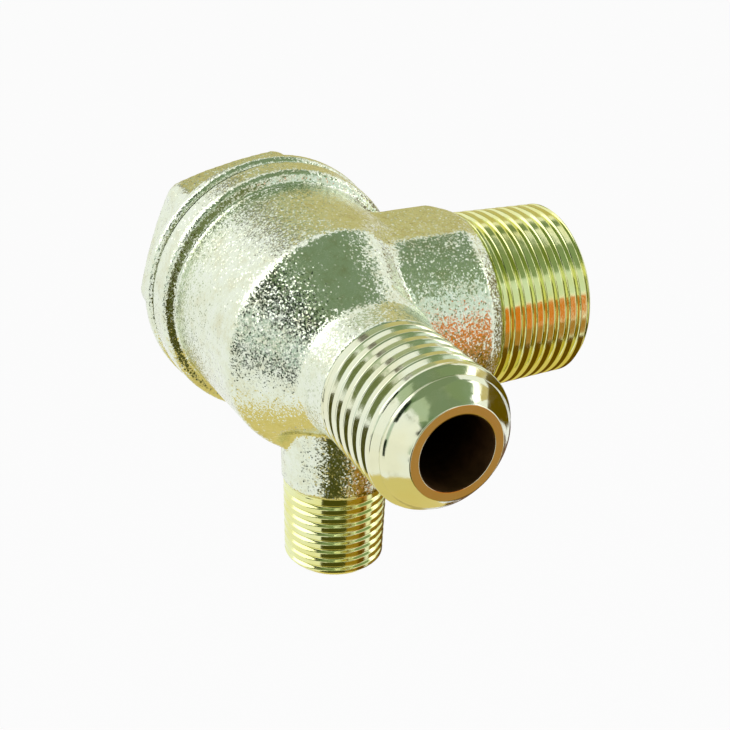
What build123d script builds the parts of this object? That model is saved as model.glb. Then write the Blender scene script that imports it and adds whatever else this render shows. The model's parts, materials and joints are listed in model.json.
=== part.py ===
from build123d import *
import os
from math import radians, tan

# Air compressor non-return valve, in millimetres.
# A die-cast body carries three male ports at right angles to each other.
# The row frame: +Y out of the tank port, +X out of the flared inlet port, +Z up, away from the unloader port.
# The origin is on the tank thread's axis, at the plane where the taper thread is tight by hand.
# The body's own axis, on which the inlet, the seat, the poppet and the cap lie, is parallel to X.

# Where the axes and ends are, measured from the point where the body's axis meets the tank port's axis
body_axis_to_gauge_plane = 22.0
tank_port_reach = 30.2
inlet_reach = 31.3
unloader_reach = 27.0
unloader_offset_x = 4.9

# Body casting
barrel_radius = 13.45
barrel_rear_radius = 13.8
barrel_front_x = 5.3
barrel_rear_x = -9.2
shoulder_fillet = 1.6
neck_radius = 8.05
neck_end_radius = 7.75
neck_start_x = 12.9
neck_fillet = 2.5
collar_radius = 15.4
collar_front_radius = 14.9
collar_front_x = -10.0
collar_end_x = -13.6
collar_edge = 0.4

# Inlet port: a parallel thread, then a nose that seats a 45 degree flare
inlet_thread_radius = 7.93
inlet_thread_start_x = 17.3
inlet_land_end_x = 28.2
cone_base_radius = 7.25
nose_radius = 5.1
nose_lip = 0.25
inlet_bore_radius = 4.3
nose_bevel = 0.45

# Tank port: a round base with two wrench flats, an undercut, and the thread
tank_base_radius = 11.85
tank_base_end = 17.6
tank_base_chamfer_length = 1.9
tank_base_chamfer_depth = 0.95
wrench_flats = 21.9
tank_undercut_radius = 9.6
tank_undercut_end = 18.5
tank_thread_radius = 10.6
tank_end_chamfer = 1.0
tank_bore_radius = 6.5
tank_bore_depth_from_axis = 7.6

# Unloader port
unloader_root_radius = 6.7
unloader_neck_radius = 6.2
unloader_neck_end = 16.6
unloader_thread_radius = 6.0
unloader_end_chamfer = 0.75
unloader_mouth_radius = 3.4
unloader_mouth_end = 17.5
unloader_hole_radius = 2.0

# Casting fillets where the ports leave the body
port_fillet = 1.0

# Chamber and seat
chamber_radius = 10.9
chamber_front_x = 2.2
cap_thread_radius = 11.5
cap_thread_end_x = -9.3
seat_x = -0.8
seat_outer_radius = 6.0
seat_lip_radius = 5.0
seat_bevel = 0.5

# End cap
cap_seal_thickness = 0.4
cap_seal_radius = 15.0
cap_flange_radius = 15.6
cap_flange_thickness = 2.0
cap_flange_edge = 0.5
cap_hex_across_flats = 25.0
cap_hex_height = 8.0
cap_hex_turn = 12.0
cap_hex_bevel_angle = 30.0
cap_hex_face_inset = 0.2
cap_spigot_radius = 11.42
cap_spigot_length = 4.4
spring_well_radius = 4.9
spring_well_x = -14.8
guide_bore_radius = 2.56
guide_bore_x = -20.0

# Poppet, pad and spring, with the valve closed
pad_radius = 6.6
pad_thickness = 1.6
pad_stands_out = 0.6
poppet_radius = 8.4
poppet_head_thickness = 3.0
poppet_edge = 0.4
stem_radius = 2.5
stem_end_x = -15.6
spring_wire_radius = 0.35
spring_mean_radius = 3.9
spring_turns = 6.5

# How far a joined solid reaches into its neighbour, and a cutting profile past the face it leaves
overlap = 1.0

# How near an edge lies to the place it is picked by
edge_tolerance = 0.01

# Reference lines and planes
body_y = -body_axis_to_gauge_plane
body_plane = Plane.XZ.offset(body_axis_to_gauge_plane)
body_axis = Axis((0, body_y, 0), (1, 0, 0))
unloader_axis = Axis((unloader_offset_x, body_y, 0), (0, 0, 1))
cap_face_x = collar_end_x - cap_seal_thickness
cap_flange_rear_x = cap_face_x - cap_flange_thickness
cap_rear_x = cap_flange_rear_x - cap_hex_height
cone_base_x = inlet_reach - (cone_base_radius - nose_radius)
cap_hex_face_radius = cap_hex_across_flats / 2 - cap_hex_face_inset
cap_hex_bevel = (cap_flange_radius - cap_hex_face_radius) * tan(radians(cap_hex_bevel_angle))
poppet_front_x = seat_x - pad_stands_out
poppet_back_x = poppet_front_x - poppet_head_thickness
spring_pitch = (poppet_back_x - spring_well_x - 2 * spring_wire_radius) / spring_turns


def from_body_axis(distance):
    """Y of a point that lies this far from the body's axis, towards the tank."""
    return body_y + distance


def rings_at(edges, x):
    """The round edges that lie at this x."""
    return edges.filter_by(GeomType.CIRCLE).filter_by_position(Axis.X, x - edge_tolerance, x + edge_tolerance)


# Tank port's base: round, with two wrench flats and a chamfered end
with BuildPart() as tank_base:
    with BuildSketch(Plane.XY):
        with BuildLine():
            Polyline(
                (0, body_y),
                (tank_base_radius, body_y),
                (tank_base_radius, from_body_axis(tank_base_end - tank_base_chamfer_length)),
                (tank_base_radius - tank_base_chamfer_depth, from_body_axis(tank_base_end)),
                (0, from_body_axis(tank_base_end)),
                close=True,
            )
        make_face()
    revolve(axis=Axis.Y)
    with BuildSketch(Plane.XZ.offset(-from_body_axis(tank_base_end))):
        Rectangle(2 * tank_base_radius, wrench_flats)
    extrude(amount=tank_base_end, mode=Mode.INTERSECT)

# Tank port's undercut and thread, at the thread's outer diameter
with BuildPart() as tank_shank:
    with BuildSketch(Plane.XY):
        with BuildLine():
            Polyline(
                (0, from_body_axis(tank_base_end - overlap)),
                (tank_undercut_radius, from_body_axis(tank_base_end - overlap)),
                (tank_undercut_radius, from_body_axis(tank_undercut_end)),
                (tank_thread_radius, from_body_axis(tank_undercut_end)),
                (tank_thread_radius, from_body_axis(tank_port_reach - tank_end_chamfer)),
                (tank_thread_radius - tank_end_chamfer, from_body_axis(tank_port_reach)),
                (0, from_body_axis(tank_port_reach)),
                close=True,
            )
        make_face()
    revolve(axis=Axis.Y)

# Unloader port: a drafted neck, then the thread at its outer diameter
with BuildPart() as unloader_port:
    with BuildSketch(body_plane):
        with BuildLine():
            Polyline(
                (unloader_offset_x, 0),
                (unloader_offset_x + unloader_root_radius, 0),
                (unloader_offset_x + unloader_neck_radius, -unloader_neck_end),
                (unloader_offset_x + unloader_thread_radius, -unloader_neck_end),
                (unloader_offset_x + unloader_thread_radius, -unloader_reach + unloader_end_chamfer),
                (unloader_offset_x + unloader_thread_radius - unloader_end_chamfer, -unloader_reach),
                (unloader_offset_x, -unloader_reach),
                close=True,
            )
        make_face()
    revolve(axis=unloader_axis)

# The casting: a turned outline, two side ports, and the drilled passages
with BuildPart() as valve_body:
    with BuildSketch(body_plane):
        with BuildLine():
            Polyline(
                (collar_end_x, 0),
                (collar_end_x, collar_radius - collar_edge),
                (collar_end_x + collar_edge, collar_radius),
                (collar_front_x - collar_edge, collar_front_radius + collar_edge),
                (collar_front_x, collar_front_radius),
                (barrel_rear_x, barrel_rear_radius),
                (barrel_front_x, barrel_radius),
                (neck_start_x, neck_radius),
                (inlet_thread_start_x, neck_end_radius),
                (inlet_thread_start_x, inlet_thread_radius),
                (inlet_land_end_x, inlet_thread_radius),
                (cone_base_x, cone_base_radius),
                (inlet_reach - nose_lip, nose_radius + nose_lip),
                (inlet_reach, nose_radius),
                (inlet_reach, 0),
                close=True,
            )
        make_face()
    revolve(axis=body_axis)
    shoulder_edge = rings_at(valve_body.edges(), barrel_front_x)
    neck_edge = rings_at(valve_body.edges(), neck_start_x)
    fillet(shoulder_edge, radius=shoulder_fillet)
    fillet(neck_edge, radius=neck_fillet)
    add(unloader_port.part)
    fillet(valve_body.edges(Select.NEW), radius=port_fillet)
    add(tank_base.part)
    add(tank_shank.part)

    # Inlet bore, seat and chamber, turned out on the body's own axis
    with BuildSketch(body_plane):
        with BuildLine():
            Polyline(
                (collar_end_x - overlap, 0),
                (collar_end_x - overlap, cap_thread_radius),
                (cap_thread_end_x, cap_thread_radius),
                (cap_thread_end_x, chamber_radius),
                (chamber_front_x, chamber_radius),
                (chamber_front_x, seat_outer_radius),
                (seat_x + seat_bevel, seat_outer_radius),
                (seat_x, seat_lip_radius),
                (seat_x, inlet_bore_radius),
                (inlet_reach - nose_bevel, inlet_bore_radius),
                (inlet_reach, inlet_bore_radius + nose_bevel),
                (inlet_reach + overlap, inlet_bore_radius + nose_bevel),
                (inlet_reach + overlap, 0),
                close=True,
            )
        make_face()
    revolve(axis=body_axis, mode=Mode.SUBTRACT)

    # Tank port's passage, from its mouth into the chamber
    with BuildSketch(Plane.XZ.offset(-from_body_axis(tank_port_reach))):
        Circle(tank_bore_radius)
    extrude(amount=tank_port_reach - tank_bore_depth_from_axis, mode=Mode.SUBTRACT)

    # Unloader passage, wide at its mouth, into the inlet bore ahead of the seat
    with BuildSketch(body_plane):
        with BuildLine():
            Polyline(
                (unloader_offset_x, 0),
                (unloader_offset_x + unloader_hole_radius, 0),
                (unloader_offset_x + unloader_hole_radius, -unloader_mouth_end),
                (unloader_offset_x + unloader_mouth_radius, -unloader_mouth_end),
                (unloader_offset_x + unloader_mouth_radius, -unloader_reach - overlap),
                (unloader_offset_x, -unloader_reach - overlap),
                close=True,
            )
        make_face()
    revolve(axis=unloader_axis, mode=Mode.SUBTRACT)

# End cap: flange, hexagon behind it, and a hollow spigot that screws into the casting
with BuildPart() as end_cap:
    with BuildSketch(Plane.YZ.offset(cap_rear_x)):
        with Locations((body_y, 0)):
            RegularPolygon(cap_hex_across_flats / 2, 6, major_radius=False, rotation=cap_hex_turn)
    extrude(amount=cap_hex_height + overlap)
    with BuildSketch(body_plane):
        with BuildLine():
            Polyline(
                (cap_rear_x, 0),
                (cap_rear_x, cap_hex_face_radius),
                (cap_rear_x + cap_hex_bevel, cap_flange_radius),
                (cap_flange_rear_x + overlap, cap_flange_radius),
                (cap_flange_rear_x + overlap, 0),
                close=True,
            )
        make_face()
    revolve(axis=body_axis, mode=Mode.INTERSECT)
    with BuildSketch(body_plane):
        with BuildLine():
            Polyline(
                (cap_flange_rear_x, 0),
                (cap_flange_rear_x, cap_flange_radius - cap_flange_edge),
                (cap_flange_rear_x + cap_flange_edge, cap_flange_radius),
                (cap_face_x - cap_flange_edge, cap_flange_radius),
                (cap_face_x, cap_flange_radius - cap_flange_edge),
                (cap_face_x, cap_spigot_radius),
                (cap_face_x + cap_spigot_length, cap_spigot_radius),
                (cap_face_x + cap_spigot_length, 0),
                close=True,
            )
        make_face()
    revolve(axis=body_axis)
    with BuildSketch(body_plane):
        with BuildLine():
            Polyline(
                (guide_bore_x, 0),
                (guide_bore_x, guide_bore_radius),
                (spring_well_x, guide_bore_radius),
                (spring_well_x, spring_well_radius),
                (cap_face_x + cap_spigot_length + overlap, spring_well_radius),
                (cap_face_x + cap_spigot_length + overlap, 0),
                close=True,
            )
        make_face()
    revolve(axis=body_axis, mode=Mode.SUBTRACT)

# Sealing washer between the casting's collar and the cap's flange
with BuildPart() as cap_seal:
    with BuildSketch(Plane.YZ.offset(cap_face_x)):
        with Locations((body_y, 0)):
            Circle(cap_seal_radius)
            Circle(cap_thread_radius, mode=Mode.SUBTRACT)
    extrude(amount=cap_seal_thickness)

# Poppet: a cupped head that holds the pad, and a stem that slides in the cap
with BuildPart() as poppet:
    with BuildSketch(body_plane):
        with BuildLine():
            Polyline(
                (stem_end_x, 0),
                (stem_end_x, stem_radius - poppet_edge),
                (stem_end_x + poppet_edge, stem_radius),
                (poppet_back_x, stem_radius),
                (poppet_back_x, poppet_radius - poppet_edge),
                (poppet_back_x + poppet_edge, poppet_radius),
                (poppet_front_x - poppet_edge, poppet_radius),
                (poppet_front_x, poppet_radius - poppet_edge),
                (poppet_front_x, pad_radius),
                (seat_x - pad_thickness, pad_radius),
                (seat_x - pad_thickness, 0),
                close=True,
            )
        make_face()
    revolve(axis=body_axis)

# Rubber pad in the poppet's face, closed on the seat
with BuildPart() as seat_pad:
    with BuildSketch(Plane.YZ.offset(seat_x - pad_thickness)):
        with Locations((body_y, 0)):
            Circle(pad_radius)
    extrude(amount=pad_thickness)

# Closing spring, a plain coil between the poppet's back and the bottom of the cap's well
with BuildPart() as spring:
    with BuildLine():
        coil = Helix(
            pitch=spring_pitch,
            height=spring_turns * spring_pitch,
            radius=spring_mean_radius,
            center=(spring_well_x + spring_wire_radius, body_y, 0),
            direction=(1, 0, 0),
        )
    with BuildSketch(Plane(origin=coil @ 0, z_dir=coil % 0)):
        Circle(spring_wire_radius)
    sweep(is_frenet=True)

# One file for each piece
os.makedirs("parts", exist_ok=True)
pieces = {
    "valve_body": valve_body,
    "end_cap": end_cap,
    "cap_seal": cap_seal,
    "poppet": poppet,
    "seat_pad": seat_pad,
    "spring": spring,
}
for label, piece in pieces.items():
    piece.part.label = label
    export_step(piece.part, f"parts/{label}.step")
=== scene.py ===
import json
import math

import bmesh
import bpy
import numpy as np
from mathutils import Matrix, Vector


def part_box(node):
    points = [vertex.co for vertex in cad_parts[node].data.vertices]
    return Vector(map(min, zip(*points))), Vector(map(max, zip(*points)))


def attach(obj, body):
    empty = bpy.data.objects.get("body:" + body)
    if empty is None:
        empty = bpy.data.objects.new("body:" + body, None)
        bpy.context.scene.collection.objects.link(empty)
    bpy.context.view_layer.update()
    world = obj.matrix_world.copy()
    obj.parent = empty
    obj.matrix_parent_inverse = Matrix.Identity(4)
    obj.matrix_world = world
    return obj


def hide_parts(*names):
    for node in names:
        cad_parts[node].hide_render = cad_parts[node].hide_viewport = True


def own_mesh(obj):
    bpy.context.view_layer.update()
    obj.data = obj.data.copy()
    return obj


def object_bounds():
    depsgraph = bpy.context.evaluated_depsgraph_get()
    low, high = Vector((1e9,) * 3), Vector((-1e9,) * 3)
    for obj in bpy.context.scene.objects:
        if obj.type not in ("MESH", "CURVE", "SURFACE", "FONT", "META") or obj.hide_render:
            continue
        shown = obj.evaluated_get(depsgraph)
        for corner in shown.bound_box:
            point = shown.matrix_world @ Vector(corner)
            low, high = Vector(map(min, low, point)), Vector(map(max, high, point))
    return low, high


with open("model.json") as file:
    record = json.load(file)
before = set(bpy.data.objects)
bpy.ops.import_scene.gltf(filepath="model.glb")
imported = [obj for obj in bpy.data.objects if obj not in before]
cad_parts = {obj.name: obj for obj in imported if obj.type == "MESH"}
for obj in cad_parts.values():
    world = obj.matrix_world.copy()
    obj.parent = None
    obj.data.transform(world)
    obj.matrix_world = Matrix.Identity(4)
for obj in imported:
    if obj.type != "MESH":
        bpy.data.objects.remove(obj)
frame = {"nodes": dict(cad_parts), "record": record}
cad_low, cad_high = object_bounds()

# Lengths are written in millimetres and turned into metres by this factor
MM = 0.001

# Where the ports' axes and ends are, read from the frame
mounts = {mount["name"]: mount for mount in frame["record"]["mounts"]}
body_low, body_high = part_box("valve_body")
crossing = Vector((0, mounts["inlet_thread"]["pos_m"][1], 0))
unloader_foot = Vector((mounts["unloader_thread"]["pos_m"][0], crossing.y, 0))
inlet_reach = body_high.x / MM
tank_reach = (body_high.y - crossing.y) / MM
unloader_reach = -body_low.z / MM
inlet_crest = mounts["inlet_thread"]["dims"]["r_mm"]
tank_crest = mounts["tank_thread"]["dims"]["r_mm"]
unloader_crest = mounts["unloader_thread"]["dims"]["r_mm"]

# Axes of each port as (across, across, along) in a right-handed set. Distances along it start at its foot
inlet_axes = (Vector((0, 1, 0)), Vector((0, 0, 1)), Vector((1, 0, 0)))
tank_axes = (Vector((0, 0, 1)), Vector((1, 0, 0)), Vector((0, 1, 0)))
unloader_axes = (Vector((0, 1, 0)), Vector((1, 0, 0)), Vector((0, 0, -1)))

# Points this near each other are welded, in the frame's solids and in drawn meshes, and edges this short are
# dissolved
solid_weld = 0.001
drawn_weld = 0.002
short_edge = 0.001

# Points this near a cutting plane, in metres, count as lying on it
plane_tolerance = 1e-7

# Casting: its grid and the rounds of smoothing, where the turned ports are cut off, and how far they reach in
casting_voxel = 0.3
casting_smoothing = 4
inlet_cut = 17.3
tank_cut = 17.6
unloader_cut = 16.6
overlap = 0.15

# The seam where the tank port leaves the barrel is smoothed more: wholly within one distance of it, and not
# at all beyond the other. The last three say where the surfaces lie that meet there
seam_smoothing = 24
seam_whole_within = 0.78
seam_none_beyond = 2.08
least_weight = 0.02
barrel_radius = 13.6
tank_base_radius = 11.85
tank_flat_height = 10.95

# The step between the barrel and the collar, which is drawn back most at its front
step_rear_x = -10.0
step_front_x = -9.2
step_fade_x = -7.2
step_shift = 0.4
step_clear_radius = 13.2

# The seam above the inlet is drawn in towards the barrel's axis. Four distances from the crossing say where
# the move starts, where it is whole, up to where it stays whole, and where it ends. Two say where it starts
# and where it is whole
pull = 1.9
pull_along = (1.0, 5.5, 10.5, 12.5)
pull_out = (1.5, 8.0, 8.0, 13.5)
pull_up = (-4.0, 0.0)
pull_off_tank_axis = (8.5, 10.0)

# The seam in front of the unloader port is drawn up in the same way, but fades to nothing across the barrel
lift = 1.7
lift_along = (5.0, 8.0, 12.0, 13.5)
lift_down = (5.0, 11.5, 11.5, 15.5)
lift_off_unloader_axis = (3.5, 5.0)
lift_fade_across = (6.5, 9.0)

# Cap: where its flange ends, how far the hexagon's corners are turned down, and the part that is softened
cap_voxel = 0.25
cap_smoothing = 5
cap_flange_rear_x = -16.0
cap_corner_radius = 13.8
cap_corner_soft = 0.25
cap_skin_radius = 12.1
cap_skin_x = -21.0

# Spring at rest, with closed ends, between the bottom of the cap's well and the poppet's back. It has this
# many rows to a turn, and this many sides round its wire
spring_wire_radius = 0.35
spring_mean_radius = 3.9
spring_turns = 7.5
spring_rows = 40
spring_sides = 12

# In the casting, faces within these radii are bore and get its painted shade: round the inlet's axis, where
# the radius falls between two distances along it, and round the other two axes
chamber_shade_x = (5.0, 12.5)
chamber_shade_radius = (12.5, 6.0)
tank_shade_radius = 6.6
unloader_shade_radius = 2.2

# Pale plating: dull, middling and bright grains of the blasted casting, and the smoother nose and the
# yellower threads, which each have a deeper colour for their patches
plating_dull = (0.70, 0.71, 0.50)
plating = (0.79, 0.85, 0.68)
plating_bright = (0.84, 0.89, 0.78)
nose_plating = (0.81, 0.86, 0.67)
nose_plating_deep = (0.81, 0.82, 0.57)
thread_gold = (0.83, 0.87, 0.46)
thread_gold_deep = (0.80, 0.80, 0.32)

# Painted shade for the bores' faces, then bare metals and rubber
bore_painted_shade = (0.06, 0.03, 0.012)
bore_painted_shade_pale = (0.11, 0.055, 0.022)
brass_pale = (0.80, 0.60, 0.28)
brass_deep = (0.70, 0.50, 0.22)
rubber_black = (0.012, 0.012, 0.012)
rubber_dusty = (0.035, 0.034, 0.032)
steel_pale = (0.62, 0.62, 0.60)
steel_deep = (0.50, 0.50, 0.49)

# Surroundings: the world's strength as a light, and the floor's colour, place and size
white = (1.0, 1.0, 1.0)
world_light = 0.6
floor_grey = (0.85, 0.85, 0.85)
floor_white_share = 0.93
floor_drop = 400.0
floor_width = 8000.0


def smoothstep(value, start, end):
    """Rises from 0 at start to 1 at end, with level ends."""
    t = np.clip((value - start) / (end - start), 0.0, 1.0)
    return t * t * (3 - 2 * t)


def plateau(value, start, whole, whole_to, end):
    """Rises from 0 at start to 1 at whole, and falls from whole_to to 0 at end."""
    return smoothstep(value, start, whole) * (1 - smoothstep(value, whole_to, end))


def off_axis(point, foot, axis):
    """How far a point lies from an axis, in millimetres."""
    return (point - foot).cross(axis).length / MM


# Meshes
def link_object(name, data):
    """A new object in the scene."""
    piece = bpy.data.objects.new(name, data)
    bpy.context.scene.collection.objects.link(piece)
    return piece


def link_mesh(name, vertices, faces):
    """A welded mesh object with smooth faces, from points in metres in the row frame."""
    mesh = bpy.data.meshes.new(name)
    mesh.from_pydata([tuple(v) for v in vertices], [], [tuple(f) for f in faces])
    shape = bmesh.new()
    shape.from_mesh(mesh)
    bmesh.ops.remove_doubles(shape, verts=shape.verts, dist=drawn_weld * MM)
    bmesh.ops.dissolve_degenerate(shape, edges=shape.edges, dist=short_edge * MM)
    bmesh.ops.recalc_face_normals(shape, faces=shape.faces)
    shape.to_mesh(mesh)
    shape.free()
    mesh.shade_smooth()
    return link_object(name, mesh)


def work_in_modifiers(piece):
    """Replaces the piece's mesh by the one that its modifiers give."""
    bpy.context.view_layer.update()
    depsgraph = bpy.context.evaluated_depsgraph_get()
    mesh = bpy.data.meshes.new_from_object(piece.evaluated_get(depsgraph))
    piece.modifiers.clear()
    piece.data = mesh


def remesh(piece, voxel):
    """Rebuilds the piece on an even grid."""
    modifier = piece.modifiers.new("remesh", "REMESH")
    modifier.mode = "VOXEL"
    modifier.voxel_size = voxel * MM
    modifier.use_smooth_shade = True
    work_in_modifiers(piece)


def add_smoothing(piece, rounds, group=""):
    """Smooths the whole piece, or one vertex group of it by its weights."""
    modifier = piece.modifiers.new("smoothing", "SMOOTH")
    modifier.factor = 0.5
    modifier.iterations = rounds
    modifier.vertex_group = group


class Thread:
    """An outside thread: its crest radius at a distance along the port, less a groove that winds round it.
    Flats are shares of half a pitch, taper is the radius lost by length, and rows are those of one turn."""

    def __init__(self, start, end, pitch, depth, crest, taper, crest_flat, root_flat, run_in, run_out, rows):
        self.start = start
        self.end = end
        self.pitch = pitch
        self.depth = depth
        self.crest = crest
        self.taper = taper
        self.crest_flat = crest_flat
        self.root_flat = root_flat
        self.run_in = run_in
        self.run_out = run_out
        self.rows = rows

    def groove(self, distance, turn):
        """How far the groove's surface lies below the crest at this distance and this share of a turn."""
        phase = np.mod((distance - self.start) / self.pitch - turn, 1.0)
        from_root = np.abs(phase - 0.5) * 2
        rise = np.clip((from_root - self.root_flat) / (1 - self.root_flat - self.crest_flat), 0.0, 1.0)
        fade = smoothstep(distance, self.start, self.start + self.run_in)
        fade = fade * (1 - smoothstep(distance, self.end - self.run_out, self.end))
        return self.depth * fade * (1 - rise)

    def radius(self, distance, turn):
        return self.crest - self.taper * (distance - self.start) - self.groove(distance, turn)


def port_mesh(name, foot, axes, outline, inside, thread, around):
    """A turned port. Outline and inside are (distance, radius) points, the outline from the casting to the
    mouth and the inside from the mouth back to the casting. The thread is cut into the outline, on rows that
    wind with it."""
    distances = np.array([p[0] for p in outline])
    radii = np.array([p[1] for p in outline])
    turns = np.arange(around + 1) / around
    even = np.ones(around + 1)
    vertices = []
    faces = []

    def outer(distance, turn):
        return np.minimum(np.interp(distance, distances, radii), thread.radius(distance, turn))

    def add_rows(rows):
        """Rows of (distances, radii), each of around + 1 values."""
        first = len(vertices)
        for distance, radius in rows:
            for column in range(around + 1):
                angle = 2 * math.pi * column / around
                first_part = axes[0] * (radius[column] * math.cos(angle))
                second_part = axes[1] * (radius[column] * math.sin(angle))
                vertices.append(foot + (first_part + second_part + axes[2] * distance[column]) * MM)
        for row in range(len(rows) - 1):
            for column in range(around):
                a = first + row * (around + 1) + column
                b = a + around + 1
                faces.append((a, a + 1, b + 1, b))

    def ring(distance):
        return distance * even, outer(distance * even, turns)

    before = [d for d in distances if d < thread.start]
    after = [d for d in distances if d > thread.end]
    add_rows([ring(d) for d in before + [thread.start]])
    step = thread.pitch / thread.rows
    count = int((thread.end - thread.start) / step) + thread.rows + 2
    winding = []
    for row in range(count):
        at = thread.start - thread.pitch + row * step + thread.pitch * turns
        at = np.clip(at, thread.start, thread.end)
        winding.append((at, outer(at, turns)))
    add_rows(winding)
    add_rows([ring(d) for d in [thread.end] + after])
    inside_rows = [(d * even, r * even) for d, r in inside]
    add_rows([ring(distances[-1])] + inside_rows + [ring(distances[0])])
    return link_mesh(name, vertices, faces)


def casting_mesh():
    """The casting's solid without its turned ports, as a fine mesh with the soft edges of a die casting."""
    shape = bmesh.new()
    shape.from_mesh(frame["nodes"]["valve_body"].data)
    bmesh.ops.remove_doubles(shape, verts=shape.verts, dist=solid_weld * MM)
    for axes, cut_at in ((inlet_axes, inlet_cut), (tank_axes, tank_cut), (unloader_axes, unloader_cut)):
        along = axes[2]
        parts = shape.verts[:] + shape.edges[:] + shape.faces[:]
        point = crossing + along * cut_at * MM
        cut = bmesh.ops.bisect_plane(
            shape, geom=parts, dist=plane_tolerance, plane_co=point, plane_no=along, clear_outer=True
        )
        rim = [e for e in cut["geom_cut"] if isinstance(e, bmesh.types.BMEdge)]
        bmesh.ops.triangle_fill(shape, edges=rim, use_beauty=True)
    mesh = bpy.data.meshes.new("casting")
    shape.to_mesh(mesh)
    shape.free()
    piece = link_object("casting", mesh)
    remesh(piece, casting_voxel)
    soften_casting(piece)
    draw_seams(piece)
    steepen_step(piece)
    piece.data.shade_smooth()
    return piece


def soften_casting(piece):
    """Rounds the casting's edges a little, and the seam where the tank port leaves the barrel more."""
    points = np.array([v.co for v in piece.data.vertices], float)
    from_crossing = points - np.array(crossing)
    off_barrel = np.abs(np.hypot(from_crossing[:, 1], from_crossing[:, 2]) / MM - barrel_radius)
    off_port = np.abs(np.hypot(points[:, 0], points[:, 2]) / MM - tank_base_radius)
    off_flat = np.abs(np.abs(points[:, 2]) / MM - tank_flat_height)
    off_seam = np.maximum(off_barrel, np.minimum(off_port, off_flat))
    weight = (1 - smoothstep(off_seam, seam_whole_within, seam_none_beyond)) * (from_crossing[:, 1] > 0)
    group = piece.vertex_groups.new(name="seam")
    for index in np.nonzero(weight > least_weight)[0]:
        group.add([int(index)], float(weight[index]), "REPLACE")
    add_smoothing(piece, casting_smoothing)
    add_smoothing(piece, seam_smoothing, "seam")
    work_in_modifiers(piece)


def draw_seams(piece):
    """Moves two seams on the casting's outer skin: the one above the inlet in towards the barrel's axis, and
    the one in front of the unloader port up."""
    flat = np.empty(3 * len(piece.data.vertices))
    piece.data.vertices.foreach_get("co", flat)
    points = flat.reshape(-1, 3)
    along, out, up = ((points - np.array(crossing)) / MM).T
    share = plateau(along, *pull_along)
    share *= smoothstep(up, *pull_up) * smoothstep(np.hypot(along, up), *pull_off_tank_axis)
    share *= plateau(out, *pull_out)
    points[:, 1] -= pull * MM * share
    share = plateau(along, *lift_along)
    share *= 1 - smoothstep(np.abs(out), *lift_fade_across)
    share *= smoothstep(np.hypot(along - unloader_foot.x / MM, out), *lift_off_unloader_axis)
    share *= plateau(-up, *lift_down)
    points[:, 2] += lift * MM * share
    piece.data.vertices.foreach_set("co", points.ravel())


def steepen_step(piece):
    """Narrows the sloping step in front of the collar, which the coarse smoothing leaves too gentle."""
    for vertex in piece.data.vertices:
        if off_axis(vertex.co, crossing, inlet_axes[2]) < step_clear_radius:
            continue
        shift = np.interp(vertex.co.x / MM, (step_rear_x, step_front_x, step_fade_x), (0.0, step_shift, 0.0))
        vertex.co.x -= shift * MM


def cap_mesh():
    """The cap's solid with softened outer edges, and with the hexagon's corners turned down to a circle."""
    piece = link_object("cap", frame["nodes"]["end_cap"].data.copy())
    remesh(piece, cap_voxel)
    skin = piece.vertex_groups.new(name="skin")
    for vertex in piece.data.vertices:
        outside = off_axis(vertex.co, crossing, inlet_axes[2]) > cap_skin_radius
        if outside or vertex.co.x < cap_skin_x * MM:
            skin.add([vertex.index], 1.0, "REPLACE")
    add_smoothing(piece, cap_smoothing, "skin")
    work_in_modifiers(piece)
    for vertex in piece.data.vertices:
        radius = off_axis(vertex.co, crossing, inlet_axes[2])
        beyond = radius - cap_corner_radius
        if vertex.co.x < cap_flange_rear_x * MM and beyond > 0:
            turned = cap_corner_radius + cap_corner_soft * math.tanh(beyond / cap_corner_soft)
            vertex.co.y = crossing.y + (vertex.co.y - crossing.y) * turned / radius
            vertex.co.z *= turned / radius
        vertex.co.x = max(vertex.co.x, cad_low.x)
    piece.data.shade_smooth()
    return piece


def spring_mesh(low_x, high_x):
    """A coil of round wire along X whose first and last turns lie close."""
    turns = np.linspace(0, spring_turns, int(spring_turns * spring_rows) + 1)
    close = 2 * spring_wire_radius
    length = high_x - low_x - close
    advance = np.interp(turns, (0, 1, spring_turns - 1, spring_turns), (0, close, length - close, length))
    turn = 2 * math.pi * turns
    outward = np.stack([np.zeros(len(turn)), np.cos(turn), np.sin(turn)], 1)
    middle = outward * spring_mean_radius
    middle[:, 0] = low_x + spring_wire_radius + advance
    tangent = np.gradient(middle, axis=0)
    tangent /= np.linalg.norm(tangent, axis=1)[:, None]
    sideways = np.cross(tangent, outward)
    strands = []
    for side in range(spring_sides):
        angle = 2 * math.pi * side / spring_sides
        strands.append(middle + spring_wire_radius * (math.cos(angle) * outward + math.sin(angle) * sideways))
    vertices = np.stack(strands, 1).reshape(-1, 3) * MM + np.array(crossing)
    last = len(turns) - 1
    faces = []
    for ring in range(last):
        for side in range(spring_sides):
            a = ring * spring_sides + side
            b = ring * spring_sides + (side + 1) % spring_sides
            faces.append((a, b, b + spring_sides, a + spring_sides))
    faces.append(tuple(range(spring_sides))[::-1])
    faces.append(tuple(range(last * spring_sides, (last + 1) * spring_sides)))
    return link_mesh("spring_coil", vertices, faces)


# Materials
def blank_tree(owner, output_kind):
    """The node tree of a material or world with nothing in it but an output."""
    owner.use_nodes = True
    tree = owner.node_tree
    tree.nodes.clear()
    return tree, tree.nodes.new(output_kind)


def new_material(name):
    """A material with one shader of the general kind."""
    material = bpy.data.materials.new(name)
    tree, output = blank_tree(material, "ShaderNodeOutputMaterial")
    shader = tree.nodes.new("ShaderNodeBsdfPrincipled")
    tree.links.new(shader.outputs["BSDF"], output.inputs["Surface"])
    return material, tree, shader


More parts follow.
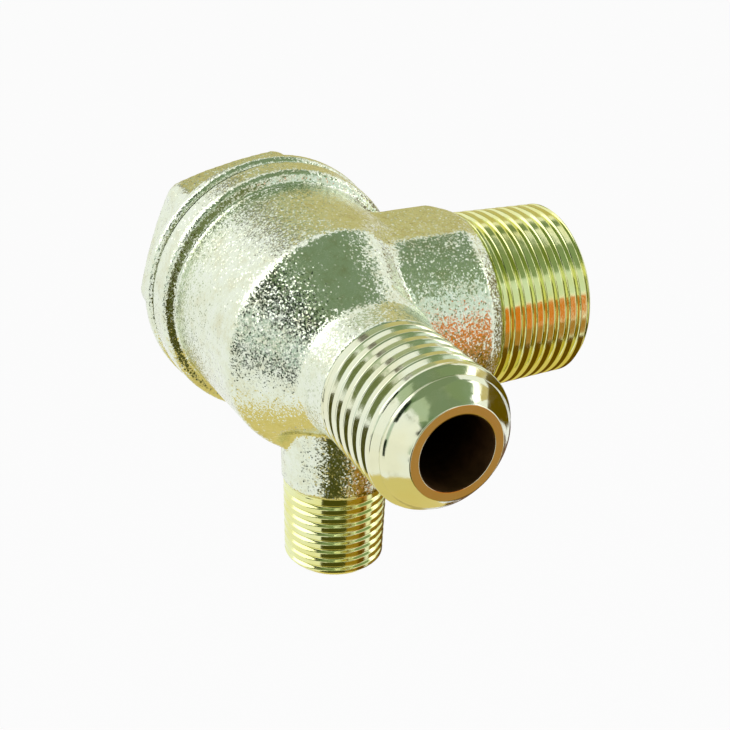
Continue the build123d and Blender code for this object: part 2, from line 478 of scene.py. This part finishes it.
def object_noise(tree, scale, detail, roughness=0.5):
    """Noise in the object's own coordinates. Scale is in features per metre."""
    place = tree.nodes.new("ShaderNodeTexCoord")
    noise = tree.nodes.new("ShaderNodeTexNoise")
    noise.inputs["Scale"].default_value = scale
    noise.inputs["Detail"].default_value = detail
    noise.inputs["Roughness"].default_value = roughness
    tree.links.new(place.outputs["Object"], noise.inputs["Vector"])
    return noise.outputs["Fac"]


def ramp(tree, value, stops):
    """A colour ramp over (position, colour) stops."""
    node = tree.nodes.new("ShaderNodeValToRGB")
    while len(node.color_ramp.elements) < len(stops):
        node.color_ramp.elements.new(0.5)
    for element, (position, colour) in zip(node.color_ramp.elements, stops):
        element.position = position
        element.color = (*colour, 1.0)
    tree.links.new(value, node.inputs["Fac"])
    return node.outputs["Color"]


def spread(tree, value, low, high):
    """Maps noise from its usual 0.3 to 0.7 to low to high."""
    node = tree.nodes.new("ShaderNodeMapRange")
    node.inputs["From Min"].default_value = 0.3
    node.inputs["From Max"].default_value = 0.7
    node.inputs["To Min"].default_value = low
    node.inputs["To Max"].default_value = high
    tree.links.new(value, node.inputs["Value"])
    return node.outputs["Result"]


def bump(tree, height, distance, strength, before=None):
    """Bump of up to distance, in metres, laid over an earlier bump or direction."""
    node = tree.nodes.new("ShaderNodeBump")
    node.inputs["Strength"].default_value = strength
    node.inputs["Distance"].default_value = distance
    tree.links.new(height, node.inputs["Height"])
    if before is not None:
        tree.links.new(before, node.inputs["Normal"])
    return node.outputs["Normal"]


def vector_math(tree, operation, first, second=None):
    """A vector operation on a socket and, where it has one, a second socket or a constant."""
    node = tree.nodes.new("ShaderNodeVectorMath")
    node.operation = operation
    tree.links.new(first, node.inputs[0])
    if isinstance(second, tuple):
        node.inputs[1].default_value = second
    elif isinstance(second, float):
        node.inputs["Scale"].default_value = second
    elif second is not None:
        tree.links.new(second, node.inputs[1])
    return node.outputs["Vector"]


def tilted_facets(tree, scale, tilt):
    """The surface's direction, tilted a little in most of many small cells and much in a few, which
    sparkle."""
    place = tree.nodes.new("ShaderNodeTexCoord")
    cells = tree.nodes.new("ShaderNodeTexVoronoi")
    cells.inputs["Scale"].default_value = scale
    tree.links.new(place.outputs["Object"], cells.inputs["Vector"])
    geometry = tree.nodes.new("ShaderNodeNewGeometry")
    lean = vector_math(tree, "SUBTRACT", cells.outputs["Color"], (0.5, 0.5, 0.5))
    lean = vector_math(tree, "MULTIPLY", lean, vector_math(tree, "ABSOLUTE", lean))
    lean = vector_math(tree, "SCALE", lean, tilt)
    return vector_math(tree, "NORMALIZE", vector_math(tree, "ADD", geometry.outputs["Normal"], lean))


def cast_plating():
    """Shot-blasted casting under pale plating: fine sparkle over dull and bright grains."""
    material, tree, shader = new_material("cast_plating")
    grains = object_noise(tree, scale=420.0, detail=6.0, roughness=0.8)
    stops = ((0.32, plating_dull), (0.5, plating), (0.68, plating_bright))
    tree.links.new(ramp(tree, grains, stops), shader.inputs["Base Color"])
    shader.inputs["Metallic"].default_value = 1.0
    sheen = object_noise(tree, scale=900.0, detail=2.0)
    tree.links.new(spread(tree, sheen, low=0.12, high=0.20), shader.inputs["Roughness"])
    pits = object_noise(tree, scale=6500.0, detail=2.0)
    facets = tilted_facets(tree, scale=5800.0, tilt=0.8)
    grain = bump(tree, pits, distance=0.012 * MM, strength=1.0, before=facets)
    tree.links.new(grain, shader.inputs["Normal"])
    return material


def turned_plating(name, colour, deep):
    """Machined metal under the plating: smooth and bright, with faint tool marks."""
    material, tree, shader = new_material(name)
    patches = object_noise(tree, scale=260.0, detail=2.0)
    tree.links.new(ramp(tree, patches, ((0.35, colour), (0.65, deep))), shader.inputs["Base Color"])
    shader.inputs["Metallic"].default_value = 1.0
    sheen = object_noise(tree, scale=1500.0, detail=2.0)
    tree.links.new(spread(tree, sheen, low=0.08, high=0.16), shader.inputs["Roughness"])
    marks = object_noise(tree, scale=1800.0, detail=3.0)
    tree.links.new(bump(tree, marks, distance=0.01 * MM, strength=0.6), shader.inputs["Normal"])
    return material


def bore_shade_material():
    """Painted shade for the drilled bores: a near-black brown for the little light inside them."""
    material, tree, shader = new_material("bore_shade_material")
    stain = object_noise(tree, scale=700.0, detail=3.0)
    stops = ((0.3, bore_painted_shade), (0.7, bore_painted_shade_pale))
    tree.links.new(ramp(tree, stain, stops), shader.inputs["Base Color"])
    shader.inputs["Metallic"].default_value = 1.0
    shader.inputs["Roughness"].default_value = 0.6
    return material


def turned_brass():
    """Bare turned brass, a little stained."""
    material, tree, shader = new_material("turned_brass")
    stain = object_noise(tree, scale=500.0, detail=2.0)
    tree.links.new(ramp(tree, stain, ((0.3, brass_pale), (0.7, brass_deep))), shader.inputs["Base Color"])
    shader.inputs["Metallic"].default_value = 1.0
    sheen = object_noise(tree, scale=2500.0, detail=2.0)
    tree.links.new(spread(tree, sheen, low=0.2, high=0.35), shader.inputs["Roughness"])
    return material


def black_rubber():
    """Matt black rubber with a trace of dust."""
    material, tree, shader = new_material("black_rubber")
    dust = object_noise(tree, scale=900.0, detail=3.0)
    stops = ((0.3, rubber_black), (0.8, rubber_dusty))
    tree.links.new(ramp(tree, dust, stops), shader.inputs["Base Color"])
    shader.inputs["Roughness"].default_value = 0.65
    skin = object_noise(tree, scale=2500.0, detail=2.0)
    tree.links.new(bump(tree, skin, distance=0.02 * MM, strength=0.5), shader.inputs["Normal"])
    return material


def spring_steel():
    """Drawn steel wire."""
    material, tree, shader = new_material("spring_steel")
    drawn = object_noise(tree, scale=1200.0, detail=2.0)
    tree.links.new(ramp(tree, drawn, ((0.3, steel_pale), (0.7, steel_deep))), shader.inputs["Base Color"])
    shader.inputs["Metallic"].default_value = 1.0
    tree.links.new(spread(tree, drawn, low=0.22, high=0.36), shader.inputs["Roughness"])
    return material


cast = cast_plating()
nose_finish = turned_plating("nose_plating", nose_plating, nose_plating_deep)
thread_finish = turned_plating("thread_plating", thread_gold, thread_gold_deep)
bore = bore_shade_material()
brass = turned_brass()
rubber = black_rubber()
steel = spring_steel()


def dress(piece, material):
    """Gives the whole piece one material."""
    piece.data.materials.clear()
    piece.data.materials.append(material)


def shade_bores(piece, inner):
    """Gives the bores' painted shade to the faces whose middle the test calls inner."""
    piece.data.materials.append(bore)
    for face in piece.data.polygons:
        if inner(face.center):
            face.material_index = 1


def inside_casting(centre):
    """True on the chamber, the seat and the drilled passages."""
    wall = np.interp((centre.x - crossing.x) / MM, chamber_shade_x, chamber_shade_radius)
    if off_axis(centre, crossing, inlet_axes[2]) < wall:
        return True
    if centre.y > crossing.y and off_axis(centre, crossing, tank_axes[2]) < tank_shade_radius:
        return True
    return centre.z < 0 and off_axis(centre, unloader_foot, unloader_axes[2]) < unloader_shade_radius


# The casting and its three turned ports stand for the valve body
casting = casting_mesh()
dress(casting, cast)
# The chamber, the seat and the passages get the bores' painted shade
shade_bores(casting, inside_casting)

# Inlet port: a thread, a relief groove, and the nose with a flat ring round its mouth. Rows close to the
# ring's edges keep its shading flat
inlet_bore_radius = 4.05
inlet_thread = Thread(
    start=17.35, end=28.1, pitch=1.9, depth=0.72, crest=inlet_crest, taper=0.0,
    crest_flat=0.38, root_flat=0.06, run_in=0.4, run_out=1.0, rows=24,
)
inlet_outline = (
    (inlet_cut - overlap, 7.7),
    (inlet_cut, 7.8),
    (27.9, inlet_crest),
    (28.25, 7.75),
    (28.6, 7.05),
    (28.85, 6.95),
    (29.0, 7.2),
    (29.15, 7.2),
    (29.7, 6.65),
    (30.4, 5.95),
    (31.18, 5.2),
    (inlet_reach, 5.14),
)
inlet_inside = (
    (inlet_reach, 5.05),
    (inlet_reach, 4.25),
    (inlet_reach, 4.17),
    (inlet_reach - 0.1, inlet_bore_radius),
    (inlet_cut - overlap, inlet_bore_radius),
)
inlet_port = port_mesh(
    "inlet_port", crossing, inlet_axes, inlet_outline, inlet_inside, inlet_thread, around=160
)

# Tank port: a taper thread, 1 in 16 on the diameter, with a bevelled end
tank_bore_radius = 6.5
tank_thread = Thread(
    start=17.9, end=30.15, pitch=1.52, depth=0.5, crest=tank_crest, taper=1 / 32,
    crest_flat=0.55, root_flat=0.05, run_in=0.3, run_out=0.02, rows=24,
)
tank_outline = (
    (tank_cut - overlap, 9.9),
    (17.8, 9.9),
    (18.0, tank_crest),
    (29.3, tank_crest),
    (tank_reach, 9.6),
)
tank_inside = (
    (tank_reach, 6.8),
    (tank_reach - 0.3, tank_bore_radius),
    (tank_cut - overlap, tank_bore_radius),
)
tank_port = port_mesh("tank_port", crossing, tank_axes, tank_outline, tank_inside, tank_thread, around=200)

# Unloader port: a fine thread that narrows a little, and a mouth that steps down to a small hole
unloader_bore_radius = 3.4
unloader_hole_radius = 2.0
unloader_step = 17.5
unloader_thread = Thread(
    start=16.7, end=26.9, pitch=1.17, depth=0.3, crest=unloader_crest, taper=1 / 40,
    crest_flat=0.5, root_flat=0.06, run_in=0.3, run_out=0.3, rows=20,
)
unloader_outline = (
    (unloader_cut - overlap, 6.1),
    (unloader_cut, unloader_crest),
    (26.2, unloader_crest),
    (unloader_reach, 5.23),
)
unloader_inside = (
    (unloader_reach, 3.6),
    (unloader_reach - 0.2, unloader_bore_radius),
    (unloader_step, unloader_bore_radius),
    (unloader_step, unloader_hole_radius),
    (unloader_cut - overlap, unloader_hole_radius),
)
unloader_port = port_mesh(
    "unloader_port", unloader_foot, unloader_axes, unloader_outline, unloader_inside, unloader_thread,
    around=120,
)

# Each port's finish, and the bores' painted shade on the faces that lie within the last radius
for port, foot, axis, finish, shade_radius in (
    (inlet_port, crossing, inlet_axes[2], nose_finish, 4.12),
    (tank_port, crossing, tank_axes[2], thread_finish, 6.55),
    (unloader_port, unloader_foot, unloader_axes[2], thread_finish, 3.45),
):
    dress(port, finish)
    shade_bores(port, lambda centre: off_axis(centre, foot, axis) < shade_radius)

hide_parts("valve_body")
for piece in (casting, inlet_port, tank_port, unloader_port):
    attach(piece, "valve")

# Cap
cap = cap_mesh()
dress(cap, cast)
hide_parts("end_cap")
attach(cap, "valve")

# The spring, drawn over the length of its solid in the frame
spring_low, spring_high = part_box("spring")
spring = spring_mesh(spring_low.x / MM, spring_high.x / MM)
dress(spring, steel)
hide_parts("spring")
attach(spring, "valve")
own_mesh(spring)

# The pieces whose solids already have their form
for node, material in (("cap_seal", rubber), ("poppet", brass), ("seat_pad", rubber)):
    dress(frame["nodes"][node], material)


# Floor, world and lights
def emission_material(name, colour):
    """A surface that glows in one colour, which at strength 1 shows as it is written."""
    material = bpy.data.materials.new(name)
    tree, output = blank_tree(material, "ShaderNodeOutputMaterial")
    glow = tree.nodes.new("ShaderNodeEmission")
    glow.inputs["Color"].default_value = (*colour, 1.0)
    glow.inputs["Strength"].default_value = 1.0
    tree.links.new(glow.outputs["Emission"], output.inputs["Surface"])
    return material


def background_rays(tree):
    """1 for camera, glossy and transmission rays, 0 for the rays that light the object."""
    path = tree.nodes.new("ShaderNodeLightPath")
    total = path.outputs["Is Camera Ray"]
    for name in ("Is Glossy Ray", "Is Transmission Ray"):
        add = tree.nodes.new("ShaderNodeMath")
        add.operation = "MAXIMUM"
        tree.links.new(total, add.inputs[0])
        tree.links.new(path.outputs[name], add.inputs[1])
        total = add.outputs["Value"]
    return total


def background(tree, strength):
    """A white background of this strength."""
    node = tree.nodes.new("ShaderNodeBackground")
    node.inputs["Color"].default_value = (*white, 1.0)
    node.inputs["Strength"].default_value = strength
    return node.outputs["Background"]


def white_world():
    """White to the camera and in reflections, and dimmer as a light."""
    world = bpy.data.worlds.new("studio")
    bpy.context.scene.world = world
    tree, output = blank_tree(world, "ShaderNodeOutputWorld")
    mix = tree.nodes.new("ShaderNodeMixShader")
    tree.links.new(background_rays(tree), mix.inputs["Fac"])
    tree.links.new(background(tree, world_light), mix.inputs[1])
    tree.links.new(background(tree, 1.0), mix.inputs[2])
    tree.links.new(mix.outputs["Shader"], output.inputs["Surface"])


def floor_material():
    """White to the camera and in reflections, over a pale diffuse surface that keeps the shadow."""
    material = bpy.data.materials.new("floor_white")
    tree, output = blank_tree(material, "ShaderNodeOutputMaterial")
    pale = tree.nodes.new("ShaderNodeBsdfDiffuse")
    pale.inputs["Color"].default_value = (*floor_grey, 1.0)
    glow = tree.nodes.new("ShaderNodeEmission")
    glow.inputs["Color"].default_value = (*white, 1.0)
    glow.inputs["Strength"].default_value = 1.0
    share = tree.nodes.new("ShaderNodeMath")
    share.operation = "MULTIPLY"
    share.inputs[1].default_value = floor_white_share
    tree.links.new(background_rays(tree), share.inputs[0])
    mix = tree.nodes.new("ShaderNodeMixShader")
    tree.links.new(share.outputs["Value"], mix.inputs["Fac"])
    tree.links.new(pale.outputs["BSDF"], mix.inputs[1])
    tree.links.new(glow.outputs["Emission"], mix.inputs[2])
    tree.links.new(mix.outputs["Shader"], output.inputs["Surface"])
    return material


def rectangle(name, centre, across, up, width, height):
    """A flat piece of the stage, with its width across and its height up."""
    half_across = across * (width / 2)
    half_up = up * (height / 2)
    corners = (
        centre - half_across - half_up,
        centre + half_across - half_up,
        centre + half_across + half_up,
        centre - half_across + half_up,
    )
    mesh = bpy.data.meshes.new(name)
    mesh.from_pydata([tuple(c) for c in corners], [], [(0, 1, 2, 3)])
    piece = link_object(name, mesh)
    return piece


def direction(azimuth, elevation):
    """Unit vector: azimuth from +X towards +Y, elevation above the horizon, in degrees."""
    a = math.radians(azimuth)
    e = math.radians(elevation)
    return Vector((math.cos(a) * math.cos(e), math.sin(a) * math.cos(e), math.sin(e)))


object_centre = (cad_low + cad_high) / 2


def card(name, place, size, colour, distance=0.6):
    """A studio card that faces the object and shows only in its reflections. Place is its azimuth and
    elevation, and size the width and height that it takes up as seen from the object, all in degrees.
    Distance is in metres."""
    away = direction(*place)
    across = Vector((0, 0, 1)).cross(away).normalized()
    up = away.cross(across)
    width, height = [2 * distance * math.tan(math.radians(angle / 2)) for angle in size]
    piece = rectangle(name, object_centre + away * distance, across, up, width, height)
    piece.data.materials.append(emission_material(name, colour))
    piece.visible_camera = False
    piece.visible_diffuse = False
    piece.visible_shadow = False
    piece.visible_transmission = False


def softbox(name, azimuth, elevation, distance, size, power):
    """A square lamp that faces the object. Distance and size are in metres."""
    lamp = bpy.data.lights.new(name, "AREA")
    lamp.shape = "SQUARE"
    lamp.size = size
    lamp.energy = power
    piece = link_object(name, lamp)
    away = direction(azimuth, elevation)
    piece.location = object_centre + away * distance
    piece.rotation_mode = "QUATERNION"
    piece.rotation_quaternion = away.to_track_quat("Z", "Y")


white_world()
floor_middle = Vector((0, 0, cad_low.z - floor_drop * MM))
floor = rectangle(
    "floor", floor_middle, Vector((1, 0, 0)), Vector((0, 1, 0)), floor_width * MM, floor_width * MM
)
floor.data.materials.append(floor_material())
softbox("key", azimuth=-115, elevation=40, distance=0.7, size=0.5, power=0.85)
softbox("fill", azimuth=70, elevation=25, distance=0.8, size=0.35, power=0.42)

# What the plating reflects. High up and at the right are dim green cards, with a white one beyond them
card("green_above", (30, 78), (100, 54), (0.21, 0.28, 0.17))
card("green_right", (50, 45), (32, 24), (0.23, 0.31, 0.17), 0.59)
card("white_right", (98, 40), (24, 28), white, 0.5)

# Over the camera and at the left, green ones with dark and pale strips
card("green_pale", (-30, 42), (30, 14), (0.47, 0.56, 0.40), 0.55)
card("green_left", (-60, 46), (20, 26), (0.17, 0.25, 0.13), 0.58)
card("dark_left", (-72, 38), (20, 34), (0.01, 0.02, 0.01), 0.56)
card("pale_left", (-78, 4), (16, 32), (0.50, 0.60, 0.54))
card("dark_low_left", (-82, -14), (13, 22), (0.0, 0.01, 0.0), 0.56)

# Beyond the object, a tan wall with grey, olive and white in it, and at the right of it a pale card
card("grey_beyond", (-176, 33), (16, 14), (0.18, 0.17, 0.14))
card("pale_right", (44, 22), (34, 26), (0.72, 0.82, 0.78))
card("tan_beyond", (150, 14), (56, 46), (0.60, 0.53, 0.24))
card("olive_beyond", (168, 38), (24, 12), (0.40, 0.45, 0.28), 0.58)
card("white_beyond", (141, 0), (5, 24), white, 0.58)

# At the right and low down, gold and browns round a warm spot and a small white one
card("gold_right", (80, 18), (9, 16), (0.62, 0.50, 0.22), 0.57)
card("brown_right", (97, -7), (34, 42), (0.12, 0.075, 0.0), 0.5)
card("brown_low_right", (145, -33), (30, 16), (0.16, 0.08, 0.04), 0.5)
card("warm_spot", (29, -7), (22, 28), (0.74, 0.21, 0.02), 0.5)
card("warm_below", (31, -30), (34, 20), (0.44, 0.22, 0.06), 0.46)
card("brown_low", (22, -42), (54, 18), (0.34, 0.21, 0.02), 0.45)
card("brown_low_far", (78, -40), (60, 20), (0.30, 0.18, 0.02), 0.45)
card("white_low", (57, -34), (11, 12), white, 0.42)
card("brown_under", (80, -54), (80, 24), (0.13, 0.065, 0.0), 0.37)

# In front, olive over a dark card, and a tan table underneath
card("olive_front", (-12, 14), (56, 36), (0.17, 0.20, 0.08), 0.5)
card("dark_front", (-27, -29), (46, 48), (0.07, 0.07, 0.012), 0.4)
card("tan_table", (0, -89), (72, 72), (0.74, 0.60, 0.22), 0.38)


# Camera
def photo_camera():
    """The photograph's own view: place, aim, focal length and centre, found by fitting the object to it."""
    place = Vector((127.26, -81.47, 64.65)) * MM
    forward = Vector((-0.814584, 0.408439, -0.411862)).normalized()
    right = Vector((0.437153, 0.898985, 0.026910)).normalized()
    image_size = 730.0
    focal_pixels = 1364.4
    centre_column = 354.45
    centre_row = 317.51
    camera = bpy.data.cameras.new("photo_camera")
    camera.sensor_fit = "HORIZONTAL"
    camera.sensor_width = 36.0
    camera.lens = focal_pixels / image_size * camera.sensor_width
    camera.shift_x = (image_size / 2 - centre_column) / image_size
    camera.shift_y = (centre_row - image_size / 2) / image_size
    camera.clip_start = 0.005
    camera.clip_end = 20.0
    piece = link_object("photo_camera", camera)
    up = right.cross(forward)
    turn = Matrix((right, up, -forward)).transposed()
    piece.matrix_world = Matrix.Translation(place) @ turn.to_4x4()
    bpy.context.scene.camera = piece


photo_camera()
bpy.context.scene.view_settings.view_transform = "Standard"
